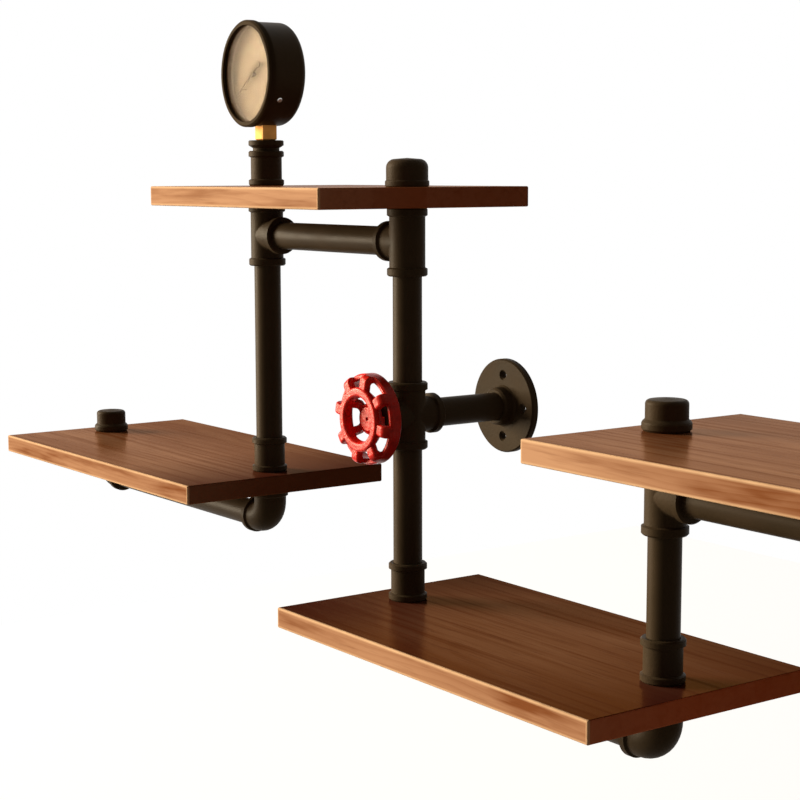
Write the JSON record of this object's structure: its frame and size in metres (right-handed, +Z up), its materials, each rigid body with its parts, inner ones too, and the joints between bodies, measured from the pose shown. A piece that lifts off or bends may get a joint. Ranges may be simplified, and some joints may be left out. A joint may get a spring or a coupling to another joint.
{
  "type": "wall shelf",
  "caption": "Wooden boards at staggered heights on a wall-mounted frame of black threaded pipe, with a red handwheel and a round pressure gauge on a brass stem.",
  "frame": {"origin": "centre of the middle wall flange, on its back face against the wall", "axes": "+X along the wall to the right as seen from the room, +Y into the wall, +Z up"},
  "size_m": [1.3685, 0.2355, 0.6151],
  "materials": {
    "board_wood": "stained, satin varnish",
    "black_pipe": "black, satin",
    "black_iron": "black, satin",
    "red_wheel": "gloss",
    "screw_steel": "satin",
    "stem_brass": "machined",
    "gauge_black": "black, satin",
    "gauge_glass": "clear",
    "dial_cream": "matt",
    "pointer_dark": "painted, matt",
    "movement_brass": "stamped",
    "tube_bronze": "drawn"
  },
  "bodies": {
    "frame": {"bottom_board": "board_wood", "bottom_coupling": "black_iron", "bottom_left_elbow": "black_iron", "bottom_left_nipple": "black_pipe", "bottom_rail_pipe": "black_pipe", "bottom_right_elbow": "black_iron", "bottom_right_nipple": "black_pipe", "cross": "black_iron", "far_left_cap": "black_iron", "far_left_elbow": "black_iron", "far_left_nipple": "black_pipe", "far_right_cap": "black_iron", "far_right_elbow": "black_iron", "far_right_flange": "black_iron", "far_right_nipple": "black_pipe", "far_right_wall_pipe": "black_pipe", "gauge_bezel": "gauge_black", "gauge_bourdon_tube": "tube_bronze", "gauge_bushing": "black_iron", "gauge_case": "gauge_black", "gauge_case_screws": "screw_steel", "gauge_dial": "dial_cream", "gauge_glass": "gauge_glass", "gauge_movement_frame": "movement_brass", "gauge_socket": "stem_brass", "left_board": "board_wood", "left_coupling": "black_iron", "left_elbow": "black_iron", "left_nipple": "black_pipe", "left_post_pipe": "black_pipe", "left_rail_pipe": "black_pipe", "lower_centre_pipe": "black_pipe", "right_board": "board_wood", "right_cap": "black_iron", "right_nipple": "black_pipe", "right_post_coupling": "black_iron", "right_post_pipe": "black_pipe", "right_rail_pipe": "black_pipe", "right_tee": "black_iron", "top_board": "board_wood", "top_cap": "black_iron", "top_centre_nipple": "black_pipe", "top_centre_tee": "black_iron", "top_left_coupling": "black_iron", "top_left_nipple": "black_pipe", "top_left_tee": "black_iron", "top_rail_pipe": "black_pipe", "upper_centre_pipe": "black_pipe", "wall_flange": "black_iron", "wall_pipe": "black_pipe", "wheel_plug": "black_iron"},
    "handwheel_body": {"handwheel": "red_wheel", "wheel_screw": "screw_steel"},
    "pointer_body": {"gauge_pointer": "pointer_dark"}
  },
  "joints": [
    {"name": "handwheel_spin", "type": "hinge", "parent": "frame", "child": "handwheel_body", "pos_m": [0, -0.1598, 0], "axis": [0, 1, 0], "continuous": true},
    {"name": "pointer_turn", "type": "hinge", "parent": "frame", "child": "pointer_body", "pos_m": [-0.2435, -0.119, 0.3205], "axis": [0.0523, 0.9986, 0], "range_deg": [0, 246], "stiffness_Nm_per_rad": 0.0005, "springref_deg": -28.65}
  ]
}
